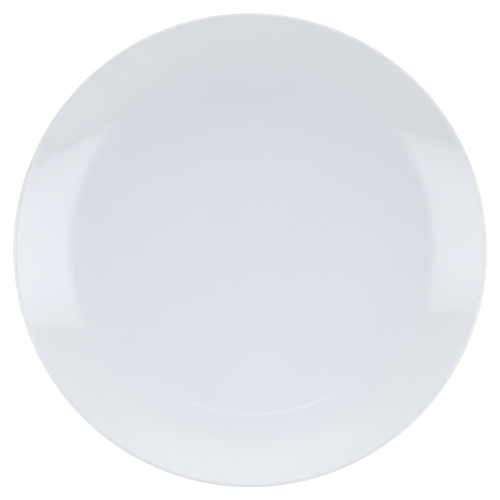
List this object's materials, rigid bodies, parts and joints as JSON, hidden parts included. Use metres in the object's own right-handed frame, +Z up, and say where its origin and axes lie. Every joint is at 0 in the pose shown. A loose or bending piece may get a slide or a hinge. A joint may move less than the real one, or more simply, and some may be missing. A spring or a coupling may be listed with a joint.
{
  "type": "dessert plate",
  "caption": "Round rimless dessert plate of white glazed porcelain, with a flat well, a curved wall rising to a rounded lip, and a bare foot ring.",
  "frame": {"origin": "centre of the foot ring, on the surface that the plate stands on", "axes": "+Z up along the plate's axis, out of the dish; X and Y lie across the rim and are alike"},
  "size_m": [0.2, 0.2, 0.02],
  "materials": {
    "porcelain": "bare fired porcelain, matt",
    "glaze": "clear gloss glaze over white porcelain"
  },
  "bodies": {
    "root": {"porcelain_body": "porcelain", "dish_glaze": "glaze", "recess_glaze": "glaze"}
  },
  "joints": []
}
